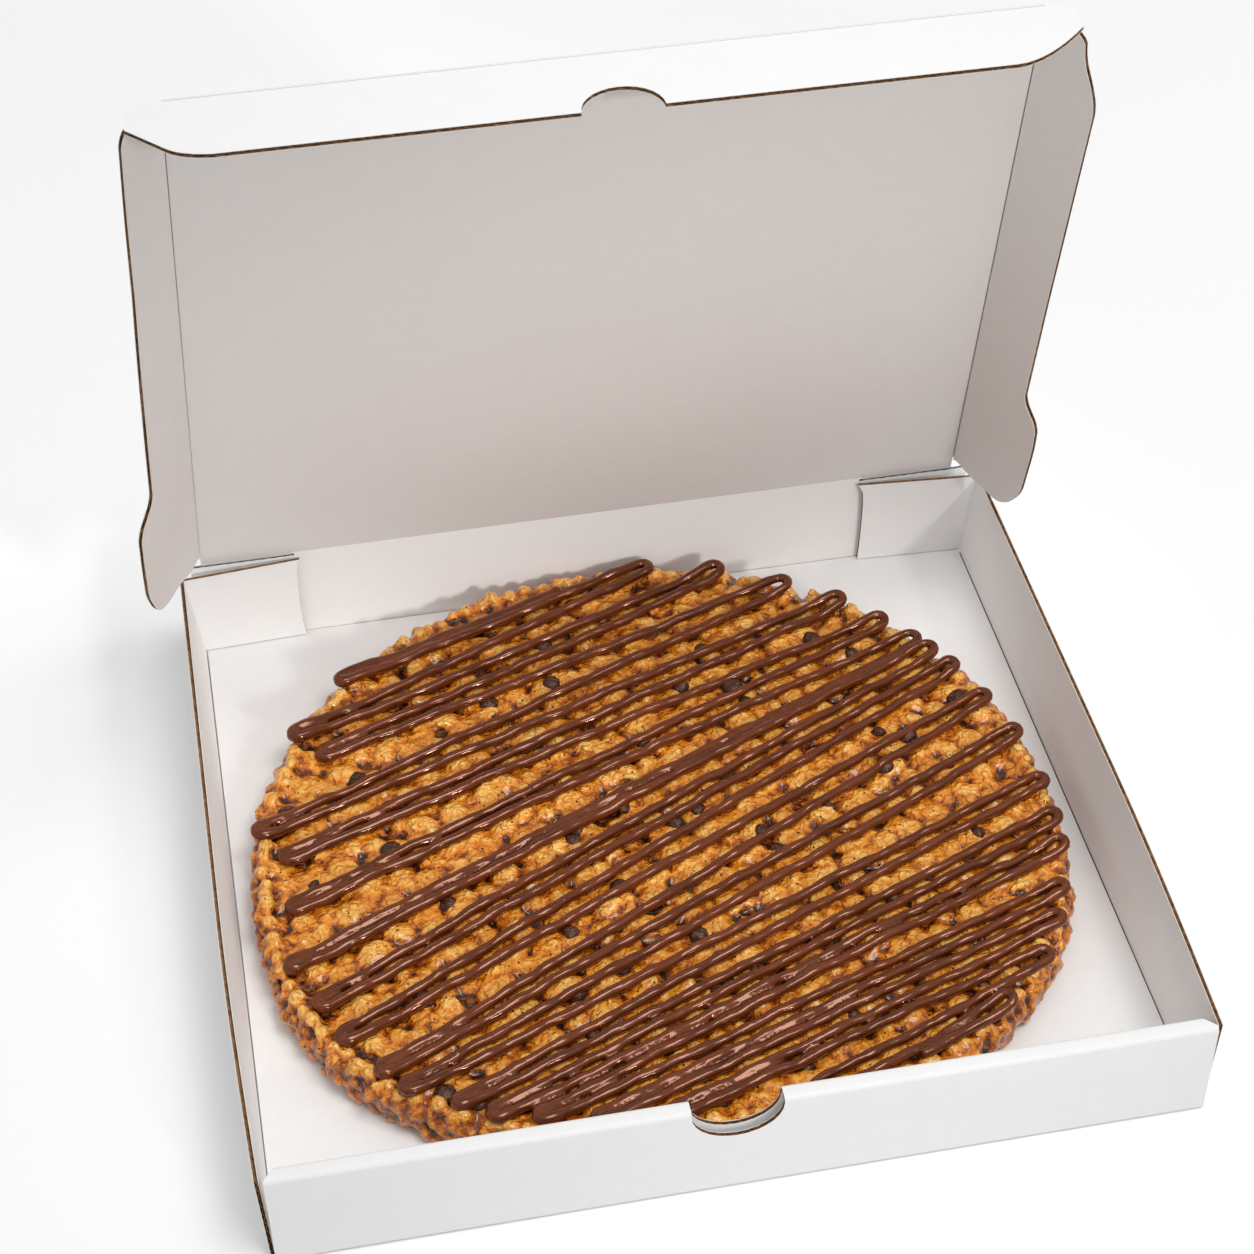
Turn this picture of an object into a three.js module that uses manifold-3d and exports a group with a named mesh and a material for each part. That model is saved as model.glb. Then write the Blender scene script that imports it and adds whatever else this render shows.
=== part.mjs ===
// A giant round cookie with a chocolate zigzag, in its open box of white corrugated board.
// Millimetres, +Z up, +X to the right, -Y to the front. The origin is the middle of the box's underside.
// The box is one folded blank: every panel between two creases is a solid of its own.
import * as THREE from "three";
import { mergeVertices } from "three/addons/utils/BufferGeometryUtils.js";
import Module from "manifold-3d";

const wasm = await Module();
wasm.setup();

// Driving dimensions of the box
const BOARD = 1.6; // thickness of the corrugated board
const GAP = 0.3; // clearance between two panels at a crease
const BOX_WIDTH = 305; // over the side walls, at the floor
const BOX_DEPTH = 290; // over the front and back walls
const SIDE_HEIGHT = 40.2;
const FRONT_HEIGHT = 40.7;
const HINGE_HEIGHT = 42; // the lid's crease, at the inner face of the board
const FRONT_LEDGE = 6; // width of the rolled-over front edge
const SIDE_LEAN_FRONT = 1.5; // how far the side walls' tops lean out
const SIDE_LEAN_MAX = 4.4;

// Driving dimensions of the lid
const LID_LENGTH = 280; // from the hinge crease to the front crease
const LID_ANGLE = 68.5; // degrees from shut
const HINGE_SPAN = [-113, 109]; // the raised middle stretch of the hinge crease
const FRONT_FLAP_ANGLE = 76; // degrees from the lid's plane
const FRONT_FLAP_DEPTH = 25.4;
const FRONT_FLAP_SPAN = [-148.3, 135.4];
const TRAY_NOTCH = { x: -4, halfWidth: 14.8, depth: 14.3 }; // thumb notch in the rolled front
const LID_NOTCH = { x: -6.5, halfWidth: 12.4, depth: 9.8 }; // thumb notch in the lid's front flap

// Driving dimensions of the cookie
const COOKIE_CENTRE = new THREE.Vector2(0, -5.5);
const COOKIE_HALF_WIDTH = 145.6;
const COOKIE_BACK = 147; // from the centre to the back rim
const COOKIE_FRONT = 131.4; // from the centre to the front rim, behind the front wall
const COOKIE_THICKNESS = 15; // from its underside to the middle of its top
const DRIZZLE_ANGLE = 23.5; // degrees from +X
const DRIZZLE_HALF_WIDTH = 2.4;

const INNER_HALF_WIDTH = BOX_WIDTH / 2 - BOARD;
const BACK = BOX_DEPTH / 2;
const INNER_BACK = BACK - BOARD;
const radians = THREE.MathUtils.degToRad;
const lerp = THREE.MathUtils.lerp;

const boardWhite = new THREE.MeshStandardMaterial({ color: 0xeeeceb, roughness: 0.75, metalness: 0 });
const boardInside = new THREE.MeshStandardMaterial({ color: 0xdbd6d3, roughness: 0.8, metalness: 0 });
const bakedGold = new THREE.MeshStandardMaterial({ color: 0xb06a24, roughness: 0.5, metalness: 0 });

const box = new THREE.Group();

function addMesh(parent, name, geometry, material) {
  const mesh = new THREE.Mesh(geometry, material);
  mesh.name = name;
  parent.add(mesh);
  return mesh;
}

// A closed solid through rings of points, all rings alike in number and turned the same way round.
function loft(rings) {
  const count = rings[0].length;
  const positions = rings.flat().flatMap((p) => [p.x, p.y, p.z]);
  const index = [];
  for (let r = 0; r + 1 < rings.length; r++)
    for (let i = 0; i < count; i++) {
      const a = r * count + i;
      const b = r * count + ((i + 1) % count);
      index.push(a, b, b + count, a, b + count, a + count);
    }
  const last = (rings.length - 1) * count;
  for (let i = 1; i + 1 < count; i++) {
    index.push(0, i + 1, i);
    index.push(last, last + i, last + i + 1);
  }
  const geometry = new THREE.BufferGeometry();
  geometry.setAttribute("position", new THREE.Float32BufferAttribute(positions, 3));
  geometry.setIndex(index);
  return geometry;
}

function toSolid(geometry) {
  const bare = geometry.clone();
  bare.deleteAttribute("normal");
  bare.deleteAttribute("uv");
  const merged = mergeVertices(bare, 1e-4);
  return new wasm.Manifold(
    new wasm.Mesh({
      numProp: 3,
      vertProperties: merged.attributes.position.array,
      triVerts: new Uint32Array(merged.index.array),
    }),
  );
}

function toGeometry(solid) {
  const mesh = solid.getMesh();
  const geometry = new THREE.BufferGeometry();
  geometry.setAttribute("position", new THREE.BufferAttribute(new Float32Array(mesh.vertProperties), 3));
  geometry.setIndex(new THREE.BufferAttribute(new Uint32Array(mesh.triVerts), 1));
  return geometry;
}

function boxBetween(low, high) {
  const size = new THREE.Vector3().subVectors(high, low);
  const middle = new THREE.Vector3().addVectors(high, low).multiplyScalar(0.5);
  return new THREE.BoxGeometry(size.x, size.y, size.z).translate(middle.x, middle.y, middle.z);
}

const at = (x, y, z) => new THREE.Vector3(x, y, z);

// Linear interpolation through a short list of [place, value] pairs.
function through(pairs, place) {
  const next = pairs.findIndex((pair) => pair[0] >= place);
  if (next < 1) return (next === 0 ? pairs[0] : pairs[pairs.length - 1])[1];
  const [a, b] = [pairs[next - 1], pairs[next]];
  return lerp(a[1], b[1], (place - a[0]) / (b[0] - a[0]));
}

// The tray: floor, two bowed side walls, back wall with its hinge ridge, corner flaps, rolled front
addMesh(
  box,
  "tray_floor",
  boxBetween(
    at(-INNER_HALF_WIDTH + GAP, -INNER_BACK + GAP, 0),
    at(INNER_HALF_WIDTH - GAP, INNER_BACK - GAP, BOARD),
  ),
  boardWhite,
);

const SIDE_BACK_END = [139, 136.8]; // where the side walls end, at the floor and at the top

// How far a side wall's top leans out, bowed from the front corner to the middle and straight behind it.
function sideLean(y) {
  const along = THREE.MathUtils.clamp((y + BACK) / (0.4 * BOX_DEPTH), 0, 1);
  return lerp(SIDE_LEAN_FRONT, SIDE_LEAN_MAX, Math.sin((along * Math.PI) / 2));
}

function sideWall(side) {
  const steps = 14;
  const rings = [];
  for (let i = 0; i <= steps; i++) {
    const low = lerp(-BACK, SIDE_BACK_END[0], i / steps);
    const high = lerp(-BACK, SIDE_BACK_END[1], i / steps);
    const lean = sideLean(low);
    const ring = [
      at(side * INNER_HALF_WIDTH, low, 0),
      at((side * BOX_WIDTH) / 2, low, 0),
      at(side * (BOX_WIDTH / 2 + lean), high, SIDE_HEIGHT),
      at(side * (INNER_HALF_WIDTH + lean), high, SIDE_HEIGHT),
    ];
    rings.push(side > 0 ? ring.reverse() : ring);
  }
  return loft(rings);
}

// A corner flap is folded in from a side wall and stands just in front of the back wall.
function cornerFlap(side) {
  const foldBottom = at(INNER_HALF_WIDTH - 0.2, 139.4, BOARD + GAP);
  const foldTop = at(INNER_HALF_WIDTH + SIDE_LEAN_MAX - 0.6, 137.2, SIDE_HEIGHT);
  const freeEdge = [
    [BOARD + GAP, 109.4],
    [9, 110.6],
    [24, 112.8],
    [33, 112.6],
    [37.5, 111.6],
    [SIDE_HEIGHT, 110.8],
  ];
  const rings = freeEdge.map(([z, x]) => {
    const fold = foldBottom.clone().lerp(foldTop, (z - foldBottom.z) / (foldTop.z - foldBottom.z));
    const front = at(side * x, lerp(141.3, 140.4, z / SIDE_HEIGHT), z);
    const ring = [
      at(side * fold.x, fold.y, z),
      front,
      at(front.x, front.y + BOARD, z),
      at(side * fold.x, fold.y + BOARD, z),
    ];
    return side > 0 ? ring.reverse() : ring;
  });
  return loft(rings);
}

for (const [name, side] of [
  ["left", -1],
  ["right", 1],
]) {
  addMesh(box, `tray_wall_${name}`, sideWall(side), boardWhite);
  addMesh(box, `corner_flap_${name}`, cornerFlap(side), boardInside);
}

// The back wall is lower at both ends, and its middle stretch ends in the rounded hinge ridge.
function backWall() {
  const cornerTop = HINGE_HEIGHT - 3;
  const wall = toSolid(boxBetween(at(-BOX_WIDTH / 2, INNER_BACK, 0), at(BOX_WIDTH / 2, BACK, cornerTop)));
  const middle = toSolid(
    boxBetween(at(HINGE_SPAN[0], INNER_BACK, cornerTop - 1), at(HINGE_SPAN[1], BACK, HINGE_HEIGHT)),
  );
  const span = HINGE_SPAN[1] - HINGE_SPAN[0];
  const ridge = new THREE.CylinderGeometry(BOARD / 2, BOARD / 2, span, 12)
    .rotateZ(Math.PI / 2)
    .translate((HINGE_SPAN[0] + HINGE_SPAN[1]) / 2, BACK - BOARD / 2, HINGE_HEIGHT);
  return toGeometry(wall.add(middle).add(toSolid(ridge)));
}
addMesh(box, "tray_wall_back", backWall(), boardInside);

// A flat panel: its outline in the XY plane, thickened by one board towards +Z.
function panel(outline) {
  return new THREE.ExtrudeGeometry(outline, { depth: BOARD, bevelEnabled: false, curveSegments: 8 });
}

// The two front boards share one outline, with the thumb notch in the upper edge.
function frontBoard(bottom, halfWidth) {
  const top = FRONT_HEIGHT - BOARD - GAP;
  const outline = new THREE.Shape();
  outline.moveTo(-halfWidth, bottom);
  outline.lineTo(halfWidth, bottom);
  outline.lineTo(halfWidth, top);
  outline.lineTo(TRAY_NOTCH.x + TRAY_NOTCH.halfWidth, top);
  const depth = TRAY_NOTCH.depth - BOARD - GAP;
  outline.absellipse(TRAY_NOTCH.x, top, TRAY_NOTCH.halfWidth, depth, 0, -Math.PI, true);
  outline.lineTo(-halfWidth, top);
  outline.closePath();
  return panel(outline).rotateX(Math.PI / 2);
}
const frontHalfWidth = INNER_HALF_WIDTH - GAP;
addMesh(box, "front_board_outer", frontBoard(0, frontHalfWidth), boardWhite).position.set(0, -INNER_BACK, 0);
addMesh(box, "front_board_inner", frontBoard(BOARD + GAP, frontHalfWidth - 2), boardWhite).position.set(
  0,
  -BACK + FRONT_LEDGE,
  0,
);

// The top of the rolled front edge, with cut corners, in two stretches beside the thumb notch
function ledge(side) {
  const corner = 3.5;
  const inner = -BACK + FRONT_LEDGE;
  const notchEnd = TRAY_NOTCH.x + side * TRAY_NOTCH.halfWidth;
  const outline = new THREE.Shape();
  outline.moveTo(notchEnd, -BACK);
  outline.lineTo(side * frontHalfWidth, -BACK);
  outline.lineTo(side * frontHalfWidth, inner - corner);
  outline.lineTo(side * (frontHalfWidth - corner), inner);
  outline.lineTo(notchEnd, inner);
  outline.closePath();
  return panel(outline).translate(0, 0, FRONT_HEIGHT - BOARD);
}
addMesh(box, "front_ledge_left", ledge(-1), boardWhite);
addMesh(box, "front_ledge_right", ledge(1), boardWhite);

// The lid, drawn shut: its inner face lies at the crease's height and it runs from the hinge towards -Y
const lid = new THREE.Group();
lid.position.set(0, INNER_BACK, HINGE_HEIGHT);
lid.rotation.x = -radians(LID_ANGLE);
box.add(lid);

// The lid narrows towards the front, more on the right: the x of each side crease at the hinge and at the front
const CREASES = {
  left: [-148.3, -136.9],
  right: [146.2, 126.8],
};
const creaseX = (name, s) => lerp(CREASES[name][0], CREASES[name][1], s / LID_LENGTH);

function lidPanel() {
  const middleStart = 2; // clear of the hinge ridge
  const cornerStart = -1.6; // the corners hang below the crease
  const end = LID_LENGTH - GAP;
  const outline = new THREE.Shape();
  outline.moveTo(creaseX("left", 0), -cornerStart);
  outline.lineTo(creaseX("left", LID_LENGTH), -end);
  outline.lineTo(creaseX("right", LID_LENGTH), -end);
  outline.lineTo(creaseX("right", 0), -cornerStart);
  outline.lineTo(HINGE_SPAN[1] + 1, -cornerStart);
  outline.lineTo(HINGE_SPAN[1] + 0.6, -middleStart);
  outline.lineTo(HINGE_SPAN[0] - 0.6, -middleStart);
  outline.lineTo(HINGE_SPAN[0] - 1, -cornerStart);
  outline.closePath();
  return panel(outline);
}
addMesh(lid, "lid_panel", lidPanel(), boardInside);

// A side flap: its width and its splay, in degrees from square to the lid, along the distance from the hinge.
// Beside the hinge it has a wide rounded ear, and the warped board splays further towards the front.
const SIDE_FLAPS = {
  left: {
    splay: (s) => 30 + 32 * Math.pow(s / LID_LENGTH, 1.5),
    width: [
      [7, 8],
      [12, 14],
      [14.6, 20],
      [16, 27],
      [20, 32.6],
      [26, 35.6],
      [40, 38.6],
      [60, 37.6],
      [79, 36],
      [89, 25.6],
      [140, 22],
      [200, 17.9],
      [240, 16.2],
      [274, 14.6],
      [278.6, 11],
    ],
  },
  right: {
    splay: (s) => 24 + 18 * (s / LID_LENGTH),
    width: [
      [7, 12],
      [9.6, 20],
      [10.4, 25.6],
      [13.4, 29.2],
      [20, 33.3],
      [30, 36],
      [60, 35.8],
      [75, 34.6],
      [84, 26.2],
      [140, 24.9],
      [200, 24.1],
      [250, 23.6],
      [258, 21],
      [268, 16.6],
      [278.6, 15],
    ],
  },
};

function sideFlap(name, side) {
  const flap = SIDE_FLAPS[name];
  const stations = flap.width.map((pair) => pair[0]);
  for (let s = 110; s < 270; s += 20) if (!stations.includes(s)) stations.push(s);
  stations.sort((a, b) => a - b);
  const along = at(creaseX(name, LID_LENGTH) - creaseX(name, 0), -LID_LENGTH, 0).normalize();
  const outward = at(side, 0, 0).addScaledVector(along, -side * along.x).normalize();
  const rings = stations.map((s) => {
    const start = at(creaseX(name, s), -s, 0);
    const splay = radians(flap.splay(s));
    const down = at(0, 0, -Math.cos(splay)).addScaledVector(outward, Math.sin(splay));
    const out = at(0, 0, Math.sin(splay)).addScaledVector(outward, Math.cos(splay));
    const place = (w, thick) => start.clone().addScaledVector(down, w).addScaledVector(out, thick);
    const width = through(flap.width, s);
    const ring = [place(GAP, 0), place(GAP, BOARD), place(width, BOARD), place(width, 0)];
    return side > 0 ? ring.reverse() : ring;
  });
  return loft(rings);
}
addMesh(lid, "lid_flap_left", sideFlap("left", -1), boardInside);
addMesh(lid, "lid_flap_right", sideFlap("right", 1), boardInside);

// The front flap, drawn lying flat: it points to -Y with its inner face down, and is then folded down.
function frontFlap() {
  const [left, right] = FRONT_FLAP_SPAN;
  const edge = -FRONT_FLAP_DEPTH;
  const shoulder = -11; // where the slanted ends begin
  const outline = new THREE.Shape();
  outline.moveTo(left, -GAP);
  outline.lineTo(left, shoulder);
  outline.lineTo(left + 11, edge + 4.4);
  outline.quadraticCurveTo(left + 15, edge + 0.8, left + 24, edge);
  outline.lineTo(LID_NOTCH.x - LID_NOTCH.halfWidth, edge);
  outline.absellipse(LID_NOTCH.x, edge, LID_NOTCH.halfWidth, LID_NOTCH.depth, Math.PI, 0, true);
  outline.lineTo(right - 24, edge);
  outline.quadraticCurveTo(right - 14, edge + 0.4, right + 0.4, shoulder);
  outline.lineTo(right, -GAP);
  outline.closePath();
  return panel(outline);
}
const foldedFront = addMesh(lid, "lid_flap_front", frontFlap(), boardWhite);
foldedFront.position.set(0, -LID_LENGTH, 0);
foldedFront.rotation.x = radians(FRONT_FLAP_ANGLE);

// The cookie: a lumpy disc with a rounded rim
const COOKIE_BASE = BOARD + GAP;

// Distance from the centre to the rim in the direction of an angle, squarer at the front behind the wall
function rimRadius(angle) {
  const [c, s] = [Math.abs(Math.cos(angle)), Math.sin(angle)];
  const depth = s > 0 ? COOKIE_BACK : COOKIE_FRONT;
  const power = s > 0 ? 2 : 2.4;
  const sum = Math.pow(c / COOKIE_HALF_WIDTH, power) + Math.pow(Math.abs(s) / depth, power);
  return Math.pow(sum, -1 / power) - 0.7 + 0.7 * Math.sin(angle * 23 + 1) * Math.sin(angle * 9);
}

// Lumps of the baked top, two waves of unlike length laid across each other
function relief(x, y) {
  const coarse = Math.sin(x / 4.3 + 1.3 * Math.sin(y / 11)) * Math.cos(y / 4.9 + Math.sin(x / 13));
  const broad = Math.sin(x / 17 + 2) * Math.cos(y / 21 - 1);
  return 0.9 * coarse + 0.5 * broad;
}

// The lumpy top ends at this share of the radius; from there the profile goes round the rim to the edge of the
// underside: [share of radius, height]
const TOP_SHARE = 0.915;
const RIM_PROFILE = [
  [0.955, 13.6],
  [0.985, 10.4],
  [1, 6.4],
  [0.99, 2.8],
  [0.965, 0],
];

const topHeight = (share) => COOKIE_BASE + COOKIE_THICKNESS - 0.9 * share * share;

function cookieBody() {
  const sectors = 56;
  const topRings = 6;
  const positions = [0, 0, topHeight(0)];
  const rings = [];
  for (let r = 1; r <= topRings; r++) rings.push([(TOP_SHARE * r) / topRings, null]);
  rings.push(...RIM_PROFILE);
  for (const [share, height] of rings)
    for (let i = 0; i < sectors; i++) {
      const angle = (i / sectors) * 2 * Math.PI;
      const radius = share * rimRadius(angle);
      const x = radius * Math.cos(angle);
      const y = radius * Math.sin(angle);
      const z = height === null ? topHeight(share) + relief(x, y) : COOKIE_BASE + height;
      positions.push(x, y, z);
    }
  const index = [];
  for (let i = 0; i < sectors; i++) index.push(0, 1 + i, 1 + ((i + 1) % sectors));
  for (let r = 0; r + 1 < rings.length; r++)
    for (let i = 0; i < sectors; i++) {
      const a = 1 + r * sectors + i;
      const b = 1 + r * sectors + ((i + 1) % sectors);
      index.push(a, a + sectors, b + sectors, a, b + sectors, b);
    }
  const bottom = positions.length / 3;
  positions.push(0, 0, COOKIE_BASE);
  const last = 1 + (rings.length - 1) * sectors;
  for (let i = 0; i < sectors; i++) index.push(bottom, last + ((i + 1) % sectors), last + i);
  const geometry = new THREE.BufferGeometry();
  geometry.setAttribute("position", new THREE.Float32BufferAttribute(positions, 3));
  geometry.setIndex(index);
  return toSolid(geometry);
}

// The chocolate zigzag: where it turns at the left and at the right rim, in millimetres across the strands
// from the cookie's centre, unevenly spaced as a hand-held nozzle leaves them.
const LEFT_TURNS = [134, 116, 103, 81, 66, 44, 21, 1, -16, -35, -48, -60, -74, -89, -101, -113, -126];
const RIGHT_TURNS = [125, 106, 86, 65, 46, 30, 21, 9, -11, -33, -57, -74, -85, -100, -110, -121, -134];
const TURN_RADIUS = 140;

// The corner of the zigzag at one turn, in the cookie's own plane
function turnPoint(across, side) {
  const alongStrand = side * Math.sqrt(Math.max(TURN_RADIUS ** 2 - across ** 2, 400));
  const angle = radians(DRIZZLE_ANGLE);
  const point = new THREE.Vector2(
    alongStrand * Math.cos(angle) - across * Math.sin(angle),
    alongStrand * Math.sin(angle) + across * Math.cos(angle),
  );
  const limit = RIM_PROFILE[0][0] * rimRadius(point.angle());
  return point.length() > limit ? point.setLength(limit) : point;
}

function drizzleCorners() {
  const corners = [new THREE.Vector2(-13.5, 136)]; // the strand starts at the back rim
  LEFT_TURNS.forEach((across, i) => {
    corners.push(turnPoint(across, -1));
    corners.push(turnPoint(RIGHT_TURNS[i], 1));
  });
  return corners;
}

const surfaceHeight = (x, y) => {
  const share = Math.hypot(x, y) / rimRadius(Math.atan2(y, x));
  if (share <= TOP_SHARE) return topHeight(share) + relief(x, y);
  const [edgeShare, edgeHeight] = RIM_PROFILE[0];
  return lerp(topHeight(TOP_SHARE), COOKIE_BASE + edgeHeight, (share - TOP_SHARE) / (edgeShare - TOP_SHARE));
};

// One strand of the zigzag, a four-sided bar that follows the lumps
function strand(from, to) {
  const steps = Math.max(2, Math.round(from.distanceTo(to) / 34));
  const across = new THREE.Vector2(from.y - to.y, to.x - from.x).normalize();
  const rings = [];
  for (let i = 0; i <= steps; i++) {
    const centre = from.clone().lerp(to, i / steps);
    const z = surfaceHeight(centre.x, centre.y);
    const ring = [
      [1, -1.6],
      [0.7, 1.5],
      [-0.7, 1.5],
      [-1, -1.6],
    ].map(([side, up]) =>
      at(
        centre.x + across.x * side * DRIZZLE_HALF_WIDTH,
        centre.y + across.y * side * DRIZZLE_HALF_WIDTH,
        z + up,
      ),
    );
    rings.push(ring);
  }
  return toSolid(loft(rings));
}

// A round drop at a turn or a chocolate chip, half sunk in the surface
function drop(x, y, radius, height) {
  const shape = new THREE.IcosahedronGeometry(1, 0);
  shape.scale(radius, radius, height);
  return toSolid(shape.translate(x, y, surfaceHeight(x, y)));
}

// Chips stand in a sunflower pattern, so that they spread evenly without rows.
function chips() {
  const count = 26;
  const goldenAngle = radians(137.5);
  const solids = [];
  for (let i = 0; i < count; i++) {
    const radius = 132 * Math.sqrt((i + 0.5) / count);
    const angle = i * goldenAngle + 0.6;
    const limit = 0.93 * rimRadius(angle);
    const reach = Math.min(radius, limit);
    solids.push(drop(reach * Math.cos(angle), reach * Math.sin(angle), 4.2, 2.6));
  }
  return solids;
}

function cookie() {
  const corners = drizzleCorners();
  const pieces = [cookieBody(), ...chips()];
  for (let i = 0; i + 1 < corners.length; i++) pieces.push(strand(corners[i], corners[i + 1]));
  for (const corner of corners) pieces.push(drop(corner.x, corner.y, 4, 2.4));
  // A hollow that a strand seals over a dip is a shell of its own here, and leaving it out fills it.
  const shells = wasm.Manifold.union(pieces).decompose();
  shells.sort((a, b) => b.volume() - a.volume());
  return toGeometry(shells[0]);
}
addMesh(box, "cookie", cookie(), bakedGold).position.set(COOKIE_CENTRE.x, COOKIE_CENTRE.y, 0);

export default box;
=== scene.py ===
# %% [markdown]
# # A giant cookie in its open box
# The imported model is a fixed frame: a tray, a lid with three flaps, and a cookie. Every piece below is built
# around that frame, in metres, and the boards and the cookie ride on its bodies. The frame is loaded first, so
# that nothing can be placed by guesswork.

# %% Load the frame
import math

import bpy
import numpy as np
from mathutils import Euler, Matrix, Vector
from mathutils.bvhtree import BVHTree


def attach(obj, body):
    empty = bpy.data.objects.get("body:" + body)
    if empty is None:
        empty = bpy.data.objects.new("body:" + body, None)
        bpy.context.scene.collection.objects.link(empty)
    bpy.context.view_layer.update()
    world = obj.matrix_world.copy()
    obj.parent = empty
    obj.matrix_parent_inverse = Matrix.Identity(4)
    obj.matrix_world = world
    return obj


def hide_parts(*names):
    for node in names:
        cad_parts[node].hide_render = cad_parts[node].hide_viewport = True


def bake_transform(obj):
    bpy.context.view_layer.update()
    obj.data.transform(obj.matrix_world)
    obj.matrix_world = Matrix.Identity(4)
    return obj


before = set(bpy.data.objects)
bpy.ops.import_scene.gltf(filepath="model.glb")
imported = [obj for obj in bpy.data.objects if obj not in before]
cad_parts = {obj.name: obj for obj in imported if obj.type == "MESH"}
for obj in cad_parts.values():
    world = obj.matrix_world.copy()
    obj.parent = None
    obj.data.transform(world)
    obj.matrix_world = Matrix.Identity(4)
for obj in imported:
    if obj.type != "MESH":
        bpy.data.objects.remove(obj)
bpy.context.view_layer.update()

SEED = 12
MM = 0.001
print("nodes:", sorted(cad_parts))

# %% [markdown]
# ## Camera
# The box is seen from the front, a little left of its middle and from well above. A camera's place, turn and
# focal length are separate choices: the place sets the perspective, the turn what is in the middle, and the
# focal length how much is in view.

# %% Camera
SENSOR = 36.0
camera_data = bpy.data.cameras.new("camera")
camera_data.sensor_width = SENSOR
camera_data.sensor_fit = "HORIZONTAL"
camera_data.lens = 77.76
camera = bpy.data.objects.new("camera", camera_data)
bpy.context.scene.collection.objects.link(camera)
camera.location = (-0.12897, -0.64833, 0.71594)
camera.rotation_euler = Euler([math.radians(a) for a in (47.549, 0.577, -10.879)])
bpy.context.scene.camera = camera
print("camera at", tuple(round(c, 3) for c in camera.location), "lens", round(camera_data.lens, 2))

# %% [markdown]
# ## Light
# A product on white is lit by one large soft box overhead and by white walls all round. The walls are the
# world here, dimmer towards the horizon, so that faces turned down or sideways are shaded. The soft box is
# an area light high up at the front right, far away so that its light doesn't fall off over the floor. The
# open lid keeps both from the back half of the tray, so a narrow spot with a soft edge is aimed at the
# hinge. The plain view transform keeps white paper white.

# %% World and lamps
scene = bpy.context.scene
scene.view_settings.view_transform = "Standard"
HORIZON, ZENITH = 0.26, 0.84
world = bpy.data.worlds.new("studio")
scene.world = world
world.use_nodes = True
sky, sky_links = world.node_tree.nodes, world.node_tree.links
direction = sky.new("ShaderNodeSeparateXYZ")
sky_links.new(sky.new("ShaderNodeTexCoord").outputs["Generated"], direction.inputs[0])
height = sky.new("ShaderNodeMapRange")
height.inputs["To Min"].default_value = HORIZON
height.inputs["To Max"].default_value = ZENITH
sky_links.new(direction.outputs["Z"], height.inputs["Value"])
sky["Background"].inputs["Color"].default_value = (1.0, 1.0, 1.0, 1.0)
sky_links.new(height.outputs["Result"], sky["Background"].inputs["Strength"])


def lamp(name, kind, place, target, power, **settings):
    data = bpy.data.lights.new(name, kind)
    data.energy = power
    for key, value in settings.items():
        setattr(data, key, value)
    light = bpy.data.objects.new(name, data)
    scene.collection.objects.link(light)
    light.location = place
    light.rotation_euler = (Vector(target) - Vector(place)).to_track_quat("-Z", "Y").to_euler()
    print(name, kind, power, "W")


lamp("soft_box", "AREA", (1.05, -1.0, 3.5), (0.0, 0.0, 0.0), 59.0, shape="RECTANGLE", size=1.8, size_y=1.5)
lamp(
    "fill",
    "SPOT",
    (0.7, -1.6, 0.95),
    (-0.05, 0.16, 0.065),
    95.0,
    color=(1.0, 0.972, 0.95),
    spot_size=math.radians(12.5),
    spot_blend=1.0,
    shadow_soft_size=0.16,
)

# %% [markdown]
# ## Materials and the floor
# Every finish is the standard surface with a few nodes in front of it: noises for patches, a ramp that turns
# a value into a colour, and a bump. A small class keeps a material's nodes together, so that each finish
# reads as a list of them. The floor is the simplest, a matt white. It ends a little in front of the box, so
# that not much light comes up from there at the lid.


# %% A finish and its nodes, and the floor
class Finish:
    """A material. Values for its surface are named after the inputs, with _ for a space."""

    def __init__(self, name, **values):
        self.material = bpy.data.materials.new(name)
        self.material.use_nodes = True
        self.tree = self.material.node_tree
        self.surface = self.tree.nodes["Principled BSDF"]
        self.fill(self.surface, {key.replace("_", " "): value for key, value in values.items()})
        self.place = self.node("ShaderNodeTexCoord", {}).outputs["Object"]

    def fill(self, node, inputs):
        for key, value in inputs.items():
            if isinstance(value, bpy.types.NodeSocket):
                self.tree.links.new(value, node.inputs[key])
            else:
                node.inputs[key].default_value = value

    def node(self, kind, inputs, **settings):
        node = self.tree.nodes.new(kind)
        for key, value in settings.items():
            setattr(node, key, value)
        self.fill(node, inputs)
        return node

    def noise(self, scale, detail=2.0, roughness=0.5, output="Fac", place=None):
        inputs = {"Scale": scale, "Detail": detail, "Roughness": roughness, "Vector": place or self.place}
        return self.node("ShaderNodeTexNoise", inputs).outputs[output]

    def cells(self, scale, feature="F1", place=None):
        inputs = {"Scale": scale, "Vector": place or self.place}
        return self.node("ShaderNodeTexVoronoi", inputs, feature=feature).outputs["Distance"]

    def math(self, operation, *values):
        return self.node("ShaderNodeMath", dict(enumerate(values)), operation=operation).outputs[0]

    def ramp(self, value, stops):
        ramp = self.node("ShaderNodeValToRGB", {"Fac": value})
        while len(ramp.color_ramp.elements) < len(stops):
            ramp.color_ramp.elements.new(0.5)
        for element, (position, colour) in zip(ramp.color_ramp.elements, stops):
            element.position = position
            element.color = (*colour, 1.0)
        return ramp.outputs["Color"]

    def show(self, colour, height, strength, distance):
        """The surface gets its colour, and a bump from the height."""
        bump = self.node("ShaderNodeBump", {"Strength": strength, "Distance": distance, "Height": height})
        self.fill(self.surface, {"Base Color": colour, "Normal": bump.outputs["Normal"]})


def paint(thing, *finishes):
    thing.data.materials.clear()
    for finish in finishes:
        thing.data.materials.append(finish.material)


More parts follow.
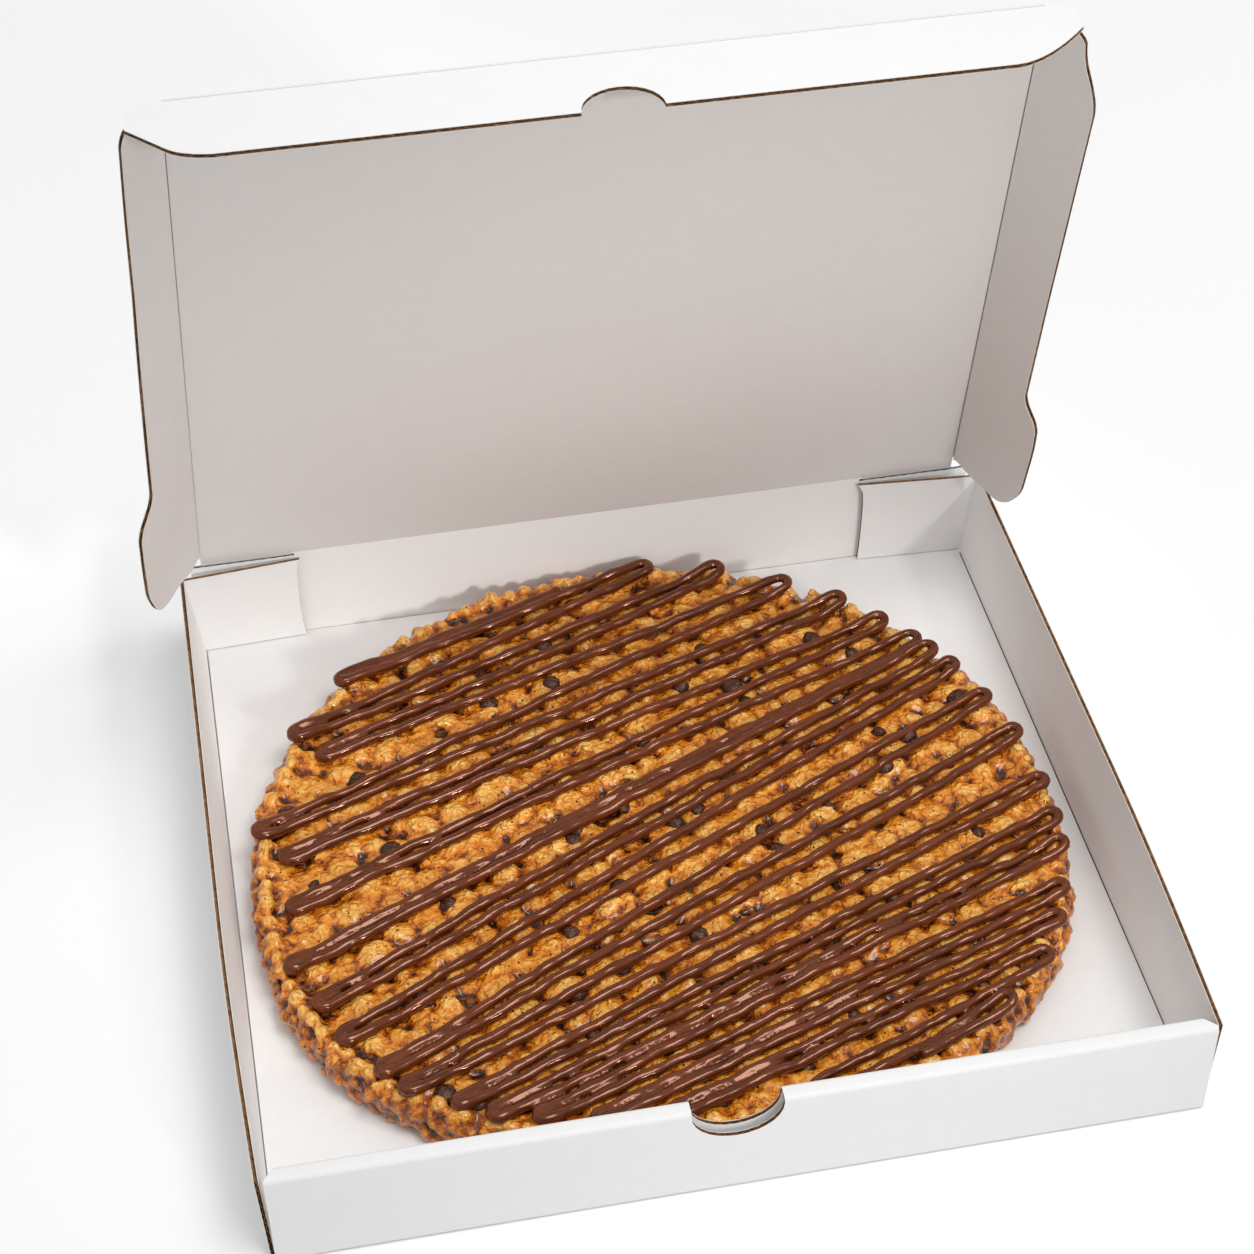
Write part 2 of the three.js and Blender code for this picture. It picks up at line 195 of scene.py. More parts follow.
FLOOR_SIZE, FLOOR_FRONT, FLOOR_DROP = 8.0, 0.42, 0.0003
bpy.ops.mesh.primitive_plane_add(size=FLOOR_SIZE, location=(0.0, FLOOR_SIZE / 2 - FLOOR_FRONT, -FLOOR_DROP))
floor = bpy.context.object
floor.name = "studio_floor"
paint(floor, Finish("floor_paint", Base_Color=(0.96, 0.96, 0.96, 1.0), Roughness=0.9))
print("floor from", -FLOOR_FRONT, "to", FLOOR_SIZE - FLOOR_FRONT)

# %% [markdown]
# ## Paper
# The board's outer paper is clay-coated, so it is nearly white and slightly smooth. The inner paper is
# uncoated and a touch warmer, and between them lies brown recycled paper. Faint fibre patches keep them from
# looking like plastic: one noise for the tone and a finer one for the bump.


# %% Paper materials
def paper(name, light, dark, roughness, grain, patch_scale=140.0):
    finish = Finish(name, Roughness=roughness, Specular_IOR_Level=0.3)
    tone = finish.ramp(finish.noise(patch_scale, 4.0, 0.6), [(0.3, dark), (0.7, light)])
    finish.show(tone, finish.noise(2600.0, 2.0, 0.6), grain, 0.0002)
    return finish


coated_paper = paper("coated_white_paper", (0.835, 0.835, 0.838), (0.82, 0.82, 0.824), 0.6, 0.12)
inner_paper = paper("inner_white_paper", (0.93, 0.927, 0.922), (0.915, 0.91, 0.904), 0.85, 0.2)
# The lid's inside is the same inner paper, made darker and warmer: painted shade, warmed like light thrown
# back from the cookie.
lid_shaded_paper = paper("shaded_lid_liner", (0.86, 0.838, 0.82), (0.845, 0.82, 0.80), 0.85, 0.2)
cut_paper = paper("cut_paper_edge", (0.88, 0.84, 0.78), (0.76, 0.68, 0.56), 0.9, 0.3, 400.0)
brown_paper = paper("brown_fluting", (0.46, 0.25, 0.12), (0.09, 0.04, 0.016), 0.9, 0.3, 520.0)
BOARD_FINISHES = [coated_paper, inner_paper, cut_paper, brown_paper]
COATED, INNER, CUT, BROWN = range(4)
print("papers:", [finish.material.name for finish in BOARD_FINISHES])

# %% [markdown]
# ## A blank of fluted board
# Corrugated board is two flat papers with a wavy one glued between them. A cut across the waves shows them,
# and a cut along them shows one dark slot. So the board is built as it is made: three layers as wide as the
# panel, then one cut through all of them with a die in the panel's outline. The blank is drawn in
# millimetres, lying flat, with the inner paper at the bottom, and only folding turns it into metres.

# %% Three layers and a die
BOARD = 1.6
PAPER = 0.2
FLUTE_PAPER = 0.15
PITCH = 4.2
STEPS_PER_FLUTE = 8
AIR = 0.02  # keeps the layers from touching
DIE_REACH = 2.0  # how far the die stands out of the board on both faces


def activate(thing):
    bpy.ops.object.select_all(action="DESELECT")
    thing.select_set(True)
    bpy.context.view_layer.objects.active = thing


def joined(things):
    activate(things[0])
    for thing in things[1:]:
        thing.select_set(True)
    bpy.ops.object.join()
    return things[0]


def in_edit_mode(thing, *operators):
    activate(thing)
    bpy.ops.object.mode_set(mode="EDIT")
    bpy.ops.mesh.select_all(action="SELECT")
    for operator in operators:
        operator()
    bpy.ops.object.mode_set(mode="OBJECT")


def apply_modifier(thing, kind, **settings):
    activate(thing)
    modifier = thing.modifiers.new(kind.lower(), kind)
    for key, value in settings.items():
        setattr(modifier, key, value)
    bpy.ops.object.modifier_apply(modifier=modifier.name)


def points_of(thing, what="co"):
    values = np.empty(len(thing.data.vertices) * 3)
    thing.data.vertices.foreach_get(what, values)
    return values.reshape(-1, 3)


def set_points(thing, co):
    thing.data.vertices.foreach_set("co", np.ascontiguousarray(co, dtype=np.float32).ravel())
    thing.data.update()


def gridded(name, lines_u, lines_v):
    """A grid primitive whose lines are moved to the given places."""
    steps_u, steps_v = len(lines_u) - 1, len(lines_v) - 1
    bpy.ops.mesh.primitive_grid_add(x_subdivisions=steps_u, y_subdivisions=steps_v, size=2.0)
    grid = bpy.context.object
    grid.name = name
    co = points_of(grid)
    column = np.rint((co[:, 0] + 1) / 2 * steps_u).astype(int)
    row = np.rint((co[:, 1] + 1) / 2 * steps_v).astype(int)
    set_points(grid, np.column_stack([np.array(lines_u)[column], np.array(lines_v)[row], 0 * column]))
    return grid


def thicken(thing, up):
    in_edit_mode(
        thing,
        lambda: bpy.ops.mesh.extrude_region_move(TRANSFORM_OT_translate={"value": (0.0, 0.0, up)}),
        lambda: bpy.ops.mesh.select_all(action="SELECT"),
        bpy.ops.mesh.normals_make_consistent,
    )


def layer(name, lines_u, lines_v, height, thickness):
    """One paper of the board. height gives its underside at (u, v)."""
    sheet = gridded(name, lines_u, lines_v)
    co = points_of(sheet)
    co[:, 2] = height(co[:, 0], co[:, 1])
    set_points(sheet, co)
    thicken(sheet, thickness)
    return sheet


def die(outline):
    """A prism in the shape of the outline: a many-sided disc whose corners are moved to the outline's."""
    bpy.ops.mesh.primitive_circle_add(vertices=len(outline), fill_type="NGON")
    prism = bpy.context.object
    co = points_of(prism)
    co[list(prism.data.polygons[0].vertices)] = [(u, v, -DIE_REACH) for u, v in outline]
    set_points(prism, co)
    thicken(prism, BOARD + 2 * DIE_REACH)
    return prism


def evenly(start, end, step):
    return list(np.linspace(start, end, max(2, int(round((end - start) / step)) + 1)))


def fluted_blank(name, outline, flutes_run, bends):
    """A flat panel. Its flutes run along "u" or "v", and it may bend at the lines across them in bends."""
    low, high = np.min(outline, axis=0) - 0.5, np.max(outline, axis=0) + 0.5
    run = "uv".index(flutes_run)
    start, end = low[1 - run], high[1 - run]
    along = sorted({low[run], high[run], *[b for b in bends if low[run] < b < high[run]]})
    fine = evenly(start, end, PITCH / STEPS_PER_FLUTE)
    coarse = [start, end] if flutes_run == "v" else evenly(start, end, 1.0)
    swing = (BOARD - 2 * PAPER - 2 * AIR - FLUTE_PAPER) / 2

    def wave(*place):
        return BOARD / 2 - FLUTE_PAPER / 2 + swing * np.sin(place[1 - run] * 2 * math.pi / PITCH)

    def lines(across):
        return (along, across) if flutes_run == "u" else (across, along)

    layers = [
        layer(name, *lines(coarse), lambda u, v: 0 * u, PAPER),
        layer(name + "_fluting", *lines(fine), wave, FLUTE_PAPER),
        layer(name + "_cover", *lines(coarse), lambda u, v: 0 * u + BOARD - PAPER, PAPER),
    ]
    prism = die(outline)
    for sheet in layers:
        apply_modifier(sheet, "BOOLEAN", operation="INTERSECT", solver="EXACT", object=prism)
    bpy.data.objects.remove(prism)
    blank = joined(layers)
    finish_blank(blank)
    return blank


def finish_blank(blank):
    """The right paper on each face, while the blank still lies flat."""
    paint(blank, *BOARD_FINISHES)
    for face in blank.data.polygons:
        height, up = face.center.z, face.normal.z
        if up > 0.9 and height > BOARD - 0.01:
            face.material_index = COATED
        elif up < -0.9 and height < 0.01:
            face.material_index = INNER
        elif abs(up) < 0.1 and (height < PAPER or height > BOARD - PAPER):
            face.material_index = CUT
        else:
            face.material_index = BROWN


# %% [markdown]
# ## Folding
# A folded panel keeps its own flat coordinates: u and v on the paper, t up through the board. A place
# function says where such a point goes, so a bowed wall, a warped flap and a rolled edge are all the same
# step. The map may mirror the panel, and then its faces are turned over again.


# %% Fold a blank into place
def fold(blank, place):
    in_edit_mode(blank, bpy.ops.mesh.quads_convert_to_tris)
    co = points_of(blank)
    middle = co.mean(axis=0)
    probe = np.array([middle, middle + (0.5, 0, 0), middle + (0, 0.5, 0), middle + (0, 0, 0.5)])
    mapped = place(*probe.T)
    mirrored = np.linalg.det(mapped[1:] - mapped[0]) < 0
    set_points(blank, place(*co.T) * MM)
    if mirrored:
        in_edit_mode(blank, bpy.ops.mesh.flip_normals)
    activate(blank)
    bpy.ops.object.shade_smooth_by_angle(angle=math.radians(25))
    print(f"{blank.name}: {len(blank.data.polygons)} faces, mirrored {mirrored}")


# %% [markdown]
# ## The tray's back wall
# It stands upright, with the waves running up. At its foot the board bends round from the floor. Its middle
# stretch is higher than its ends, because there it goes over into the lid at the crease. The lid's corners
# have crushed the ends' top edges, so no brown shows on them.

# %% Back wall
BOX_WIDTH, BOX_DEPTH = 305.0, 290.0
HALF_WIDTH, BACK = BOX_WIDTH / 2, BOX_DEPTH / 2
INNER_HALF_WIDTH = HALF_WIDTH - BOARD
HINGE_HEIGHT = 42.0
HINGE_SPAN = (-113.0, 109.0)
FOOT = 2.0  # length of paper that goes round the bend at the foot
END_STEP = 1.85  # how much lower the wall is beside the hinge


def foot_bend(v):
    """How far a point below the bend has turned from upright, in radians, and its height above the floor."""
    turn = np.clip(-v / FOOT, 0, 1) * math.pi / 2
    return turn, np.maximum(v, 0) + BOARD


def place_back_wall(u, v, t):
    turn, height = foot_bend(v)
    return np.column_stack([u, BACK - BOARD + t * np.cos(turn), height - t * np.sin(turn)])


corner_top = HINGE_HEIGHT - END_STEP - BOARD
middle_top = HINGE_HEIGHT - BOARD
back_outline = [
    (-HALF_WIDTH, -FOOT),
    (HALF_WIDTH, -FOOT),
    (HALF_WIDTH, corner_top),
    (HINGE_SPAN[1], corner_top),
    (HINGE_SPAN[1], middle_top),
    (HINGE_SPAN[0], middle_top),
    (HINGE_SPAN[0], corner_top),
    (-HALF_WIDTH, corner_top),
]
BEND_LINES = list(np.linspace(-FOOT, 0, 5))
back_wall = fluted_blank("back_wall", back_outline, "v", BEND_LINES)
fold(back_wall, place_back_wall)
HINGE_MIDDLE, HINGE_REACH, CRUSHED_FROM = -0.002, 0.111, (HINGE_HEIGHT - 1.9) * MM
for face in back_wall.data.polygons:
    if abs(face.center.x - HINGE_MIDDLE) > HINGE_REACH and face.center.z > CRUSHED_FROM:
        face.material_index = INNER

# %% [markdown]
# ## Side walls with their corner flaps
# One strip of board makes a side wall and the corner flap that is folded in behind the cookie, so both are
# cut from one blank. The wall leans out a little and is bowed. Here the waves run along the wall, so its top
# edge shows one brown slot, and the free end of the flap shows the waves.

# %% Side walls
SIDE_HEIGHT = 40.2
LEAN_FRONT, LEAN_MAX = 1.5, 4.4
WALL_LENGTH = 284.0
CORNER = 2.0  # length of paper that goes round the back corner
FLAP_LENGTH = 41.5
TOP_SETBACK = 2.2  # how much further forward the corner is at the top than at the foot
SWING_FOOT, SWING_TOP = 1.9, 1.6  # how far the flap's end stands off the back wall, and what its top adds
FRONT_CLEARANCE = 1.75  # the walls begin behind the outer front board, which covers their ends


def side_lean(y):
    along = np.clip((y + BACK) / (0.4 * BOX_DEPTH), 0, 1)
    return LEAN_FRONT + (LEAN_MAX - LEAN_FRONT) * np.sin(along * math.pi / 2)


def place_side(side):
    def place(u, v, t):
        turn, height = foot_bend(v)
        share = height / SIDE_HEIGHT
        along = np.clip(u, 0, WALL_LENGTH) / WALL_LENGTH
        y_low = -BACK + along * WALL_LENGTH
        y = -BACK + along * (WALL_LENGTH - TOP_SETBACK * share)
        x = INNER_HALF_WIDTH + side_lean(y_low) * share
        corner = np.clip((u - WALL_LENGTH) / CORNER, 0, 1) * math.pi / 2
        past = np.maximum(u - WALL_LENGTH - CORNER, 0)
        inward = past / FLAP_LENGTH
        x = x - past + t * np.cos(turn) * np.cos(corner)
        y = y + inward * (SWING_FOOT + SWING_TOP * share) + t * np.sin(corner)
        return np.column_stack([side * x, y, height - t * np.sin(turn)])

    return place


FREE_EDGES = {  # height, and how much longer or shorter the flap is there
    "left": [(1.9, -2.3), (9, -2.2), (20, -1.5), (30, -0.3), (36, 0.6), (38, 1.4), (SIDE_HEIGHT, 2.7)],
    "right": [(1.9, 0.2), (9, 0.6), (20, 1.4), (30, 2.4), (36, 3.3), (38, 4.2), (SIDE_HEIGHT, 5.7)],
}
FLAP_CLEARANCE = 0.3  # between the flap and the tray's floor
flap_end = WALL_LENGTH + CORNER + FLAP_LENGTH
side_bends = evenly(0, WALL_LENGTH, 12) + list(np.linspace(WALL_LENGTH, WALL_LENGTH + CORNER, 6))
SIDES = (("left", -1), ("right", 1))
side_walls = {}
for side_name, side in SIDES:
    outline = [
        (FRONT_CLEARANCE, -FOOT),
        (WALL_LENGTH - 1.0, -FOOT),
        (WALL_LENGTH - 0.5, FLAP_CLEARANCE),
        *[(flap_end + shift, max(z - BOARD, FLAP_CLEARANCE)) for z, shift in FREE_EDGES[side_name]],
        (FRONT_CLEARANCE, SIDE_HEIGHT - BOARD),
    ]
    side_walls[side_name] = fluted_blank("side_wall_" + side_name, outline, "u", side_bends)
    fold(side_walls[side_name], place_side(side))

# %% [markdown]
# ## The rolled front
# The front wall is doubled: the board goes up outside, over a narrow ledge and down again inside. It is one
# blank whose place function walks along that path and turns a quarter at each of three bends. The thumb
# notch is a hole in the flat blank that straddles the ledge, which is how the real die cuts it.

# %% Rolled front
FRONT_HEIGHT = 40.7
LEDGE = 6.0
ROUND = 2.0  # length of paper in each bend of the roll
GAP = 0.3  # what the inner board is short of the floor, and of the side walls
rise = FRONT_HEIGHT - 2 * BOARD
across = LEDGE - 2 * BOARD
ledge_start = rise + ROUND
ledge_end = ledge_start + across
fall_start = ledge_end + ROUND
front_end = fall_start + (rise - GAP)


def place_front(u, v, t):
    foot, _ = foot_bend(v)
    first = np.clip((v - rise) / ROUND, 0, 1)
    second = np.clip((v - ledge_end) / ROUND, 0, 1)
    turn = (first + second) * math.pi / 2 - foot
    up = BOARD + np.clip(v, 0, rise) - np.maximum(v - fall_start, 0)
    back = np.clip(v - ledge_start, 0, across)
    y = -BACK + BOARD + back - t * np.cos(turn)
    return np.column_stack([u, y, up + t * np.sin(turn)])


def arc(centre_u, centre_v, half_u, half_v, start, end, steps=14):
    turns = [math.radians(start + (end - start) * i / steps) for i in range(steps + 1)]
    return [(centre_u + half_u * math.cos(a), centre_v + half_v * math.sin(a)) for a in turns]


NOTCH_MIDDLE, NOTCH_HALF_WIDTH, NOTCH_REACH = -4.0, 14.8, 12.4
NOTCH_STRAIGHT = 0.3  # its sides stay straight this far past the bends
front_half = INNER_HALF_WIDTH - GAP
CUT_CORNER = 3.5
COVER_LEFT, COVER_RIGHT = 0.5, 1.55  # how far the outer board reaches over the side walls' ends
front_outline = [
    (-front_half - COVER_LEFT, -FOOT),
    (front_half + COVER_RIGHT, -FOOT),
    (front_half + COVER_RIGHT, ledge_start),
    (front_half - CUT_CORNER, fall_start),
    (front_half - CUT_CORNER, front_end),
    (-front_half + CUT_CORNER, front_end),
    (-front_half + CUT_CORNER, fall_start),
    (-front_half - COVER_LEFT, ledge_start + across - CUT_CORNER),
]
rows = BEND_LINES + list(np.linspace(rise, ledge_start, 6)) + list(np.linspace(ledge_end, fall_start, 6))
rolled_front = fluted_blank("rolled_front", front_outline, "v", rows)
notch = die(
    arc(NOTCH_MIDDLE, rise - NOTCH_STRAIGHT, NOTCH_HALF_WIDTH, NOTCH_REACH, 180, 360)
    + arc(NOTCH_MIDDLE, fall_start + NOTCH_STRAIGHT, NOTCH_HALF_WIDTH, NOTCH_REACH, 0, 180)
)
apply_modifier(rolled_front, "BOOLEAN", operation="DIFFERENCE", solver="EXACT", object=notch)
bpy.data.objects.remove(notch)
finish_blank(rolled_front)
fold(rolled_front, place_front)

# %% [markdown]
# ## The lid
# The lid leans over the tray. Its own frame has x across, s from the hinge to the front and the board's
# thickness outwards, so its place function is one turn about the hinge line. The side flaps are warped:
# their splay grows along the lid, which the place function follows from hinge to front.

# %% Lid frame
LID_LENGTH = 280.0
LID_ANGLE = math.radians(68.5)
CREASES = {"left": (-148.3, -136.9), "right": (146.2, 126.8)}
CREASE_GAP = 0.18
FLAP_GAP = 0.36  # wider, because the side flaps fold a little past flat when the lid is fully open
LID_EAR = 1.6  # how far the lid's corners reach past the hinge line


def from_lid(x, y, z):
    """From the lid's own frame, drawn shut, to the open lid."""
    cos, sin = math.cos(-LID_ANGLE), math.sin(-LID_ANGLE)
    return np.column_stack([x, BACK - BOARD + y * cos - z * sin, HINGE_HEIGHT + y * sin + z * cos])


def crease_x(name, s):
    start, end = CREASES[name]
    return start + (end - start) * s / LID_LENGTH


lid_end = LID_LENGTH - CREASE_GAP
lid_outline = [
    (crease_x("left", 0), -LID_EAR),
    (HINGE_SPAN[0] - 1.0, -LID_EAR),
    (HINGE_SPAN[0] - 0.6, CREASE_GAP),
    (HINGE_SPAN[1] + 0.6, CREASE_GAP),
    (HINGE_SPAN[1] + 1.0, -LID_EAR),
    (crease_x("right", 0), -LID_EAR),
    (crease_x("right", LID_LENGTH), lid_end),
    (crease_x("left", LID_LENGTH), lid_end),
]
lid_panel = fluted_blank("lid_board", lid_outline, "v", [])
fold(lid_panel, lambda u, v, t: from_lid(u, -v, t))

# %% Side flaps of the lid
FLAPS = {  # splay in degrees, and the flap's width at distances from the hinge
    "left": {
        "splay": lambda s: 30 + 32 * np.clip(s / LID_LENGTH, 0, 1) ** 1.5,
        "width": [
            (7, 8), (12, 14), (14.6, 20), (16, 27), (20, 32.6), (26, 35.6), (40, 38.6), (60, 37.6),
            (79, 36), (89, 25.6), (140, 22), (200, 17.9), (240, 16.2), (274, 14.6), (278.6, 11),
        ],
    },
    "right": {
        "splay": lambda s: 24 + 18 * np.clip(s / LID_LENGTH, 0, 1),
        "width": [
            (7, 12), (9.6, 20), (10.4, 25.6), (13.4, 29.2), (20, 33.3), (30, 36), (60, 35.8),
            (75, 34.6), (84, 26.2), (140, 24.9), (200, 24.1), (250, 23.6), (258, 21), (268, 16.6),
            (278.6, 15),
        ],
    },
}


def unit(vectors):
    """The same directions, each of length one."""
    return vectors / np.maximum(np.linalg.norm(vectors, axis=-1, keepdims=True), 1e-6)


def quarter_turn(vectors):
    return np.stack([-vectors[..., 1], vectors[..., 0]], axis=-1)


def lid_flap_frame(name, side, s):
    """At the distance s from the hinge: the crease's place, and the ways down the flap and out of it."""
    run = np.array([crease_x(name, LID_LENGTH) - crease_x(name, 0), -LID_LENGTH])
    flat = np.append(side * quarter_turn(unit(run)), 0)
    splay = np.radians(FLAPS[name]["splay"](s))[:, None]
    start = np.column_stack([crease_x(name, s), -s, 0 * s])
    down = flat * np.sin(splay) - np.cos(splay) * (0, 0, 1)
    out = flat * np.cos(splay) + np.sin(splay) * (0, 0, 1)
    return start, down, out


def place_lid_flap(name, side):
    def place(u, v, t):
        start, down, out = lid_flap_frame(name, side, u)
        return from_lid(*(start + down * v[:, None] + out * t[:, None]).T)

    return place


def corners_cut(outline, reaches=(2.6, 0.9)):
    """Each corner becomes two points a short way along its sides, twice, so that it comes out round."""
    for reach in reaches:
        cut = [outline[0]]
        for start, end in zip(np.array(outline), np.array(outline[1:])):
            share = min(0.3, reach / np.linalg.norm(end - start))
            cut += [tuple(start + (end - start) * share), tuple(end + (start - end) * share)]
        outline = cut + [outline[-1]]
    return outline


lid_flaps = {}
for side_name, side in SIDES:
    edge = FLAPS[side_name]["width"]
    near_hinge = [(4.4, FLAP_GAP), (4.9, 0.6), (edge[0][0], 0.9)]
    outline = corners_cut([*near_hinge, *edge, (edge[-1][0], FLAP_GAP)])[::-1]
    flap = fluted_blank("lid_flap_board_" + side_name, outline, "u", evenly(0, LID_LENGTH, 8))
    fold(flap, place_lid_flap(side_name, side))
    lid_flaps[side_name] = flap

# %% Front flap of the lid
FRONT_FLAP_ANGLE = math.radians(76)
FLAP_EDGE = 25.4
FLAP_LEFT, FLAP_RIGHT = -148.3, 135.4
LID_NOTCH_MIDDLE, LID_NOTCH_HALF_WIDTH, LID_NOTCH_DEPTH = -6.5, 12.4, 9.8


def place_front_flap(u, v, t):
    cos, sin = math.cos(FRONT_FLAP_ANGLE), math.sin(FRONT_FLAP_ANGLE)
    return from_lid(u, -LID_LENGTH - v * cos - t * sin, -v * sin + t * cos)


def quadratic(start, control, end, steps=8):
    k = np.arange(1, steps + 1)[:, None] / steps
    return (1 - k) ** 2 * np.array(start) + 2 * k * (1 - k) * np.array(control) + k * k * np.array(end)


FLAP_SHOULDER = 11.0  # the flap's depth at its two ends
left_start, left_end = (FLAP_LEFT + 11, FLAP_EDGE - 4.4), (FLAP_LEFT + 24, FLAP_EDGE)
right_start, right_end = (FLAP_RIGHT - 24, FLAP_EDGE), (FLAP_RIGHT + 0.4, FLAP_SHOULDER)
front_flap_outline = [
    (FLAP_LEFT, CREASE_GAP),
    (FLAP_LEFT, FLAP_SHOULDER),
    left_start,
    *quadratic(left_start, (FLAP_LEFT + 15, FLAP_EDGE - 0.8), left_end),
    *arc(LID_NOTCH_MIDDLE, FLAP_EDGE, LID_NOTCH_HALF_WIDTH, LID_NOTCH_DEPTH, -180, 0),
    right_start,
    *quadratic(right_start, (FLAP_RIGHT - 14, FLAP_EDGE - 0.4), right_end),
    (FLAP_RIGHT, CREASE_GAP),
]
front_flap = fluted_blank("lid_flap_board_front", front_flap_outline, "v", [])
fold(front_flap, place_front_flap)

# %% [markdown]
# ## The dough
# A giant cookie is pressed by hand from soft lumps, and in the oven they run together without quite closing
# the creases between them. It is modelled in the same order: one lump, many copies pressed side by side on
# a slab, and then a voxel remesh, which fuses whatever touches and leaves the creases. The work is done in
# millimetres and scaled to metres at the end.

# %% The cookie's outline and height
COOKIE_MIDDLE = np.array([0.0, -5.5])
COOKIE_LEFT, COOKIE_RIGHT, COOKIE_BACK, COOKIE_FRONT = 147.6, 144.0, 148.0, 131.4
COOKIE_BASE = BOARD + 0.3
COOKIE_TOP = COOKIE_BASE + 15.0
draw = np.random.default_rng(SEED)


def rim_radius(angle):
    """From the cookie's middle to its rim. Behind the front wall the rim is squarer."""
    back = np.sin(angle) > 0
    power = np.where(back, 2.0, 2.4)
    depth = np.where(back, COOKIE_BACK, COOKIE_FRONT)
    width = np.where(np.cos(angle) > 0, COOKIE_RIGHT, COOKIE_LEFT)
    total = (np.abs(np.cos(angle)) / width) ** power + (np.abs(np.sin(angle)) / depth) ** power
    return total ** (-1 / power)


def share_of_rim(x, y):
    return np.hypot(x, y) / rim_radius(np.arctan2(y, x))


def top_height(share):
    """The top is nearly flat and rounds down over the last tenth of the radius."""
    return COOKIE_TOP - 0.6 * share**2 - 1.6 * np.clip((share - 0.89) / 0.1, 0, None) ** 2


def copies(pattern, places):
    """Copies of one modelled piece, each with a mesh of its own, joined into one object."""
    made = []
    for place in places:
        piece = pattern.copy()
        piece.data = pattern.data.copy()
        piece.matrix_world = place
        scene.collection.objects.link(piece)
        made.append(piece)
    bpy.data.objects.remove(pattern)
    joined(made)
    bpy.ops.object.transform_apply(location=True, rotation=True, scale=True)
    return made[0]


def placed(centre, turn, scale):
    return Matrix.LocRotScale(Vector(centre), Euler(turn), Vector(scale))


# %% Lumps pressed together
LUMP_SPACING = 8.2
ROW_SHARE = 0.87  # rows of round things nest this much closer than their spacing
HALF_ROW = 24
SCATTER = 0.24 * LUMP_SPACING
TOP_SHARE = 0.955  # the rim's own lumps begin beyond it
LUMP_RADII = ((5.2, 8.6), (4.4, 6.2), (2.2, 3.0))  # the least and the greatest along, across and upright
RIM_ROWS = [  # height over the base, share of the rim's radius, lumps in the row
    (2.6, 0.972, 150), (6.4, 0.976, 156), (10.2, 0.972, 150), (13.4, 0.958, 146), (3.0, 0.95, 90),
]
SLAB_SHARE, SLAB_DEPTH, SLAB_HEIGHT = 0.945, 3.0, 12.2


def top_lumps():
    rows_needed = int(2 * COOKIE_BACK / (LUMP_SPACING * ROW_SHARE)) + 2
    for row in range(rows_needed):
        y = -COOKIE_BACK + row * LUMP_SPACING * ROW_SHARE
        for column in range(-HALF_ROW, HALF_ROW + 1):
            x = (column + 0.5 * (row % 2)) * LUMP_SPACING
            px, py = np.array([x, y]) + draw.normal(0, SCATTER, 2)
            share = share_of_rim(px, py)
            if share > TOP_SHARE:
                continue
            size = [draw.uniform(*radii) for radii in LUMP_RADII]
            z = top_height(share) - size[2] + draw.normal(0.0, 0.45)
            turn = (draw.normal(0, 0.14), draw.normal(0, 0.14), draw.uniform(0, 3.14))
            yield placed((px, py, z), turn, size)


def rim_lumps():
    for height, share, count in RIM_ROWS:
        for i in range(count):
            angle = (i + draw.uniform(-0.4, 0.4)) * 2 * math.pi / count
            radius = rim_radius(angle) * (share + draw.normal(0, 0.004)) - 1.2
            size = draw.uniform(2.6, 3.9, 3)
            z = COOKIE_BASE + height + draw.normal(0, 0.7)
            centre = (radius * math.cos(angle), radius * math.sin(angle), z)
            yield placed(centre, draw.uniform(0, 3.14, 3), size)


def slab(share, low, high, corners=96):
    turns = np.arange(corners) * 2 * math.pi / corners
    radii = share * rim_radius(turns)
    disc = die(np.column_stack([radii * np.cos(turns), radii * np.sin(turns)]))
    co = points_of(disc)
    co[:, 2] = np.where(co[:, 2] < 0, low, high)
    set_points(disc, co)
    return disc


bpy.ops.mesh.primitive_ico_sphere_add(subdivisions=2, radius=1.0)
dough = copies(bpy.context.object, [*top_lumps(), *rim_lumps()])
dough.name = "dough"
base = slab(SLAB_SHARE, COOKIE_BASE - SLAB_DEPTH, COOKIE_BASE + SLAB_HEIGHT)
joined([dough, base])
print("pressed lumps:", len(dough.data.polygons), "faces")

# %% [markdown]
# The remesh gives one closed skin. Two displacements then crinkle it: a cellular texture pulls in fine
# creases, and a cloud texture makes them uneven. Last, a flat cut gives the cookie the underside that it
# got from its baking sheet. A mesh this fine has more triangles than it needs, so some are then taken out.

# %% Bake the lumps into one skin
DOUGH_VOXEL, DOUGH_TRIANGLES = 1.05, 185_000


def crinkle(thing, kind, size, strength, **settings):
    texture = bpy.data.textures.new(kind.lower(), kind)
    texture.noise_scale = size
    for key, value in settings.items():
        setattr(texture, key, value)
    where = {"texture": texture, "texture_coords": "LOCAL"}
    apply_modifier(thing, "DISPLACE", **where, strength=strength, mid_level=0.5)


apply_modifier(dough, "REMESH", mode="VOXEL", voxel_size=DOUGH_VOXEL)
crinkle(dough, "VORONOI", 5.6, 1.1, weight_1=-1.0, weight_2=1.0)
crinkle(dough, "CLOUDS", 3.0, 0.35)


def thin_out(thing, triangles):
    """Fewer, unequal triangles keep more of the form than a coarser remesh."""
    in_edit_mode(thing, bpy.ops.mesh.quads_convert_to_tris)
    if len(thing.data.polygons) > triangles:
        apply_modifier(thing, "DECIMATE", ratio=triangles / len(thing.data.polygons))


def cut_flat():
    plane = {"plane_co": (0.0, 0.0, COOKIE_BASE), "plane_no": (0.0, 0.0, 1.0)}
    bpy.ops.mesh.bisect(**plane, use_fill=True, clear_inner=True)


in_edit_mode(dough, cut_flat)
thin_out(dough, DOUGH_TRIANGLES)
print("dough:", len(dough.data.polygons), "faces")
